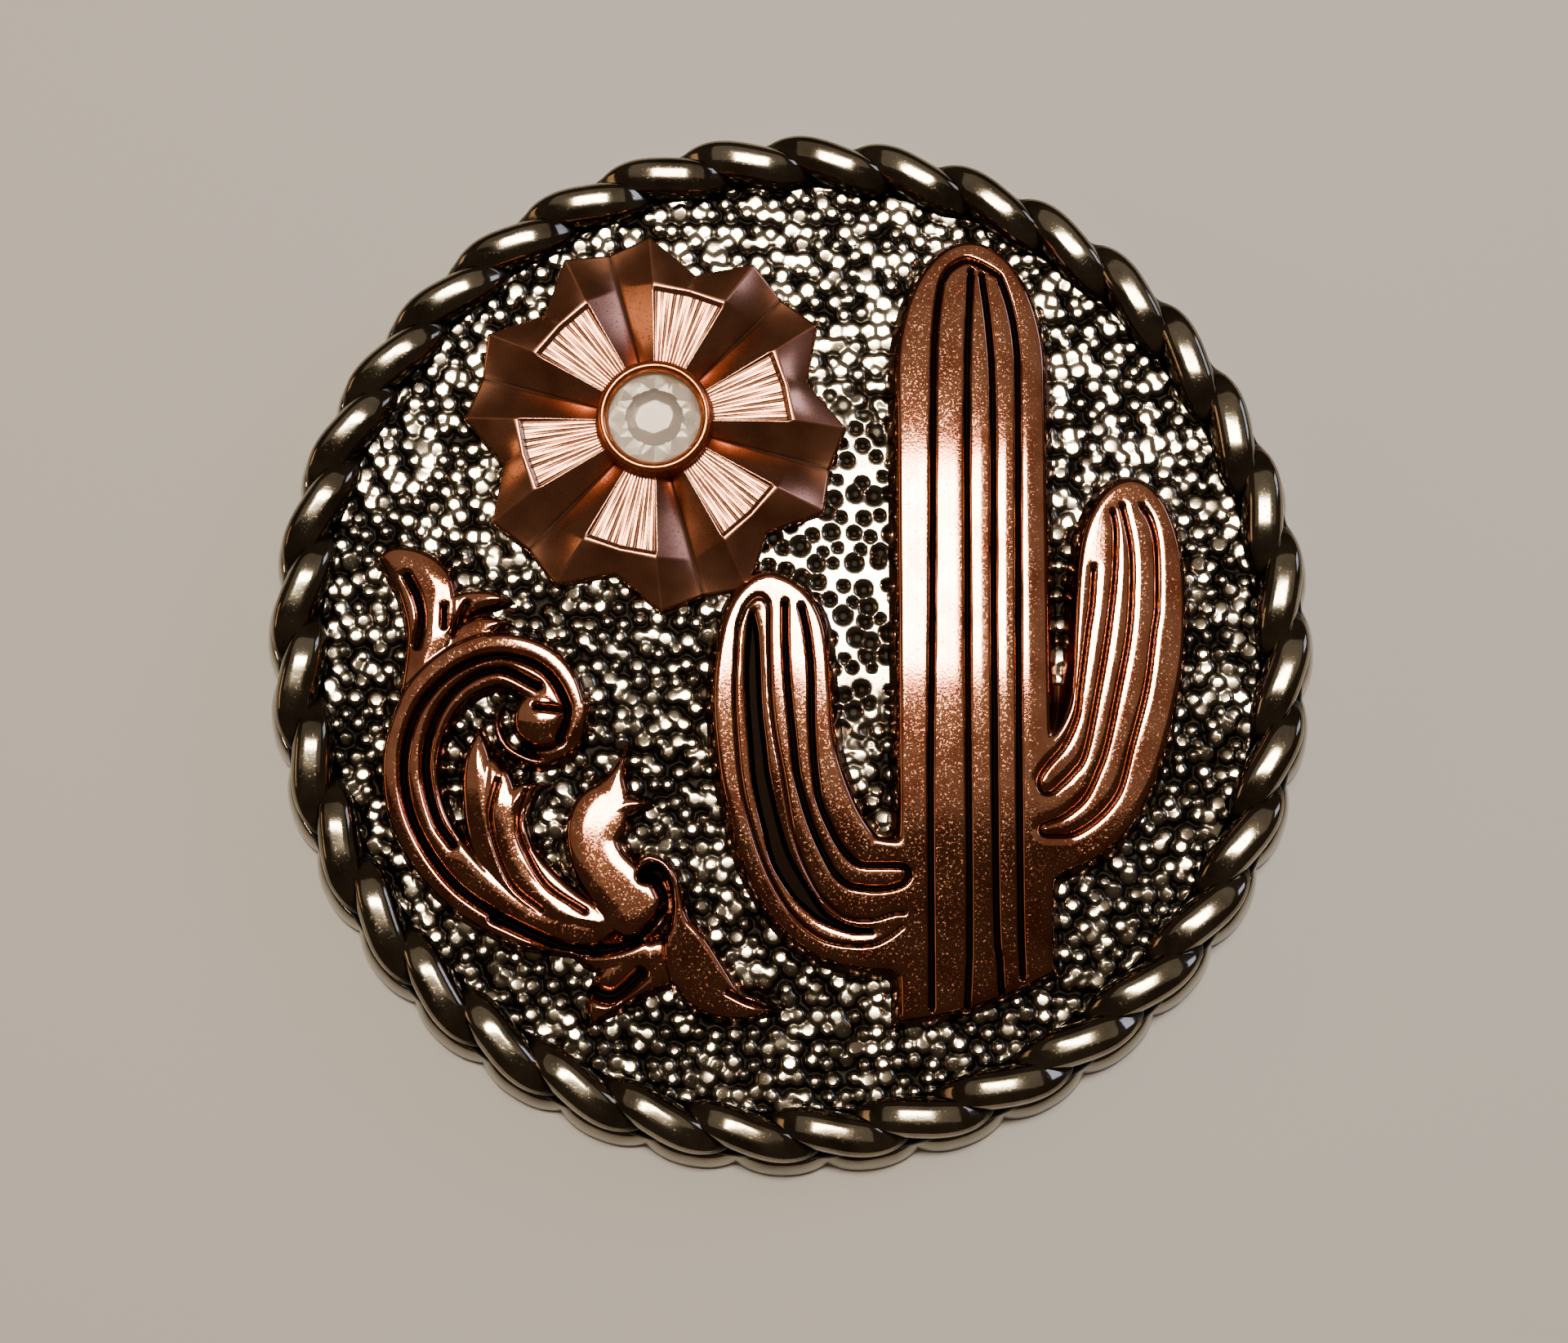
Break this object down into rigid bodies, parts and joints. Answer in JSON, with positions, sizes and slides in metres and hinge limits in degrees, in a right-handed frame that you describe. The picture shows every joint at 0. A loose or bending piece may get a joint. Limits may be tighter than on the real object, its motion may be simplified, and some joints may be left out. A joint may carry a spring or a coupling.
{
  "type": "concho",
  "caption": "Round western concho with a rope edge, a copper cactus, scroll and flower on a punched silver ground, a set crystal and a threaded back.",
  "frame": {"origin": "centre of the flat back plane of the rim", "axes": "+Z out of the decorated face, +X to its right and +Y to its top with the cactus upright"},
  "size_m": [0.038, 0.038, 0.004],
  "materials": {
    "antique_silver": "antique silver plate over cast zinc alloy, dark in the hollows",
    "antique_copper": "antique copper plate, dark in the grooves",
    "bright_copper": "polished copper plate",
    "crystal": "clear cut glass with a foiled back"
  },
  "bodies": {
    "root": {"concho_base": "antique_silver", "cactus": "antique_copper", "scroll": "antique_copper", "flower": "antique_copper", "bezel_cup": "bright_copper", "crystal": "crystal"}
  },
  "joints": []
}
